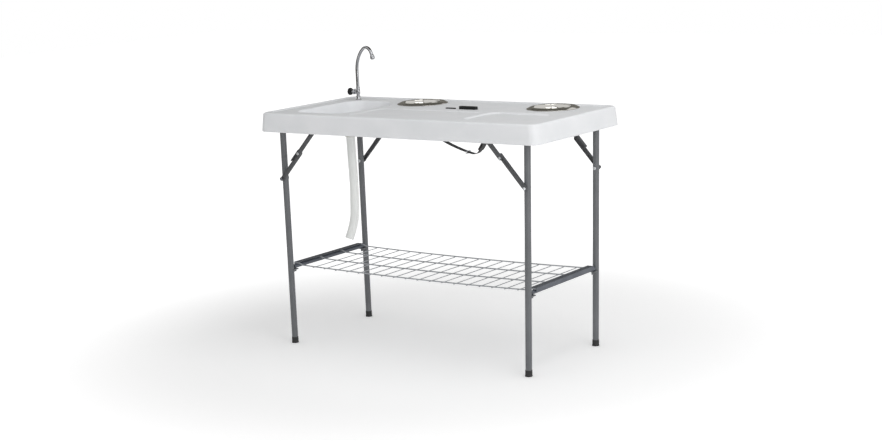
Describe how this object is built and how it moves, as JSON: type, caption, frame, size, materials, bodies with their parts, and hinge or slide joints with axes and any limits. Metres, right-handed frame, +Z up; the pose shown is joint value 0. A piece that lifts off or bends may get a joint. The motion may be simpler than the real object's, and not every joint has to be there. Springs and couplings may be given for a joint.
{
  "type": "folding fish cleaning table",
  "caption": "Folding outdoor cleaning table with a moulded top, sink, gooseneck tap, drain hose, lift-out bowls, wire shelf and braced tubular legs.",
  "frame": {"origin": "on the floor under the middle of the top", "axes": "+X along the table's length to the user's right, +Y away from the user, +Z up"},
  "size_m": [1.27, 0.6, 1.1376],
  "materials": {
    "white_hdpe": "moulded, fine satin grain",
    "polished_steel": "spun and polished stainless steel",
    "black_plastic": "moulded, matt",
    "grey_powder_coat": "powder coated, semi-matt",
    "dark_powder_coat": "powder coated, semi-matt",
    "zinc_steel": "bright zinc plated",
    "black_oxide_steel": "blackened steel",
    "black_rubber": "moulded rubber",
    "wire_coating": "grey coated steel wire",
    "channel_coating": "grey coated sheet steel",
    "chrome_plate": "bright chrome plate",
    "clear_vinyl": "soft, milky, satin",
    "webbing": "woven polyester webbing",
    "white_nylon": "moulded, satin"
  },
  "bodies": {
    "top": {"drain_flange": "white_nylon", "drain_hose": "clear_vinyl", "drain_locknut": "white_nylon", "drain_tailpiece": "white_nylon", "hose_coupling_nut": "black_plastic", "knife_slot_insert": "black_plastic", "left_brace_brackets": "dark_powder_coat", "left_brace_pins": "zinc_steel", "left_hanger_screws": "zinc_steel", "left_hangers": "dark_powder_coat", "right_brace_brackets": "dark_powder_coat", "right_brace_pins": "zinc_steel", "right_hanger_screws": "zinc_steel", "right_hangers": "dark_powder_coat", "strap_anchor_plates": "zinc_steel", "strap_buckle": "black_plastic", "strap_ring": "zinc_steel", "strap_screws": "zinc_steel", "strap_webbing": "webbing", "tabletop": "white_hdpe", "tap_base_ring": "chrome_plate", "tap_body": "chrome_plate", "tap_locknut": "zinc_steel", "tool_slot_insert": "black_plastic"},
    "shelf": {"shelf_wires": "wire_coating", "left_shelf_rail": "channel_coating", "left_shelf_channel": "channel_coating", "right_shelf_rail": "channel_coating", "right_shelf_channel": "channel_coating"},
    "tap_spout": {"tap_spout": "chrome_plate", "tap_nozzle": "chrome_plate"},
    "tap_valve": {"tap_valve_stem": "chrome_plate", "tap_knob": "black_plastic"},
    "inlet_nut": {"inlet_hose_nut": "black_plastic"},
    "left_bowl": {"left_bowl": "polished_steel"},
    "left_leg_frame": {"left_front_leg": "grey_powder_coat", "left_back_leg": "grey_powder_coat", "left_cross_tube": "grey_powder_coat", "left_foot_caps": "black_rubber", "left_brace_bolts": "zinc_steel", "left_cap_nuts": "black_oxide_steel", "left_shelf_rests": "grey_powder_coat"},
    "left_upper_braces": {"left_front_upper_brace": "dark_powder_coat", "left_back_upper_brace": "dark_powder_coat", "left_knee_rivets": "zinc_steel"},
    "left_lower_braces": {"left_front_lower_brace": "dark_powder_coat", "left_back_lower_brace": "dark_powder_coat"},
    "right_bowl": {"right_bowl": "polished_steel"},
    "right_leg_frame": {"right_front_leg": "grey_powder_coat", "right_back_leg": "grey_powder_coat", "right_cross_tube": "grey_powder_coat", "right_foot_caps": "black_rubber", "right_brace_bolts": "zinc_steel", "right_cap_nuts": "black_oxide_steel", "right_shelf_rests": "grey_powder_coat"},
    "right_upper_braces": {"right_front_upper_brace": "dark_powder_coat", "right_back_upper_brace": "dark_powder_coat", "right_knee_rivets": "zinc_steel"},
    "right_lower_braces": {"right_front_lower_brace": "dark_powder_coat", "right_back_lower_brace": "dark_powder_coat"}
  },
  "joints": [
    {"name": "left_fold", "type": "hinge", "parent": "top", "child": "left_leg_frame", "pos_m": [-0.561, 0, 0.857], "axis": [0, -1, 0], "range_deg": [0, 90]},
    {"name": "left_upper_brace_turn", "type": "hinge", "parent": "top", "child": "left_upper_braces", "pos_m": [-0.381, 0, 0.857], "axis": [0, 1, 0], "range_deg": [0, 47.63]},
    {"name": "left_lower_brace_turn", "type": "hinge", "parent": "left_leg_frame", "child": "left_lower_braces", "pos_m": [-0.561, 0, 0.66], "axis": [0, -1, 0], "range_deg": [0, 42.47]},
    {"name": "left_bowl_lift", "type": "slide", "parent": "top", "child": "left_bowl", "axis": [0, 0, 1], "range_m": [0, 0.1]},
    {"name": "right_fold", "type": "hinge", "parent": "top", "child": "right_leg_frame", "pos_m": [0.561, 0, 0.885], "axis": [0, 1, 0], "range_deg": [0, 88.19]},
    {"name": "right_upper_brace_turn", "type": "hinge", "parent": "top", "child": "right_upper_braces", "pos_m": [0.381, 0, 0.885], "axis": [0, -1, 0], "range_deg": [0, 48.62]},
    {"name": "right_lower_brace_turn", "type": "hinge", "parent": "right_leg_frame", "child": "right_lower_braces", "pos_m": [0.55477, 0, 0.6881], "axis": [0, 1, 0], "range_deg": [0, 43.29]},
    {"name": "right_bowl_lift", "type": "slide", "parent": "top", "child": "right_bowl", "axis": [0, 0, 1], "range_m": [0, 0.1]},
    {"name": "shelf_lift", "type": "slide", "parent": "top", "child": "shelf", "axis": [0, 0, 1], "range_m": [0, 0.08]},
    {"name": "spout_swivel", "type": "hinge", "parent": "top", "child": "tap_spout", "pos_m": [-0.533, 0.208, 0.962], "axis": [0, 0, 1], "range_deg": [-100, 100]},
    {"name": "tap_valve_turn", "type": "hinge", "parent": "top", "child": "tap_valve", "pos_m": [-0.555, 0.208, 0.949], "axis": [-1, 0, 0], "range_deg": [0, 270]},
    {"name": "inlet_nut_spin", "type": "hinge", "parent": "top", "child": "inlet_nut", "pos_m": [-0.533, 0.208, 0.865], "axis": [0, 0, 1], "continuous": true}
  ],
  "couplings": [
    {"joint": "left_upper_brace_turn", "follows": "left_fold", "ratio": 0.52869},
    {"joint": "left_lower_brace_turn", "follows": "left_fold", "ratio": 0.47131},
    {"joint": "right_upper_brace_turn", "follows": "right_fold", "ratio": 0.55078},
    {"joint": "right_lower_brace_turn", "follows": "right_fold", "ratio": 0.49034}
  ]
}
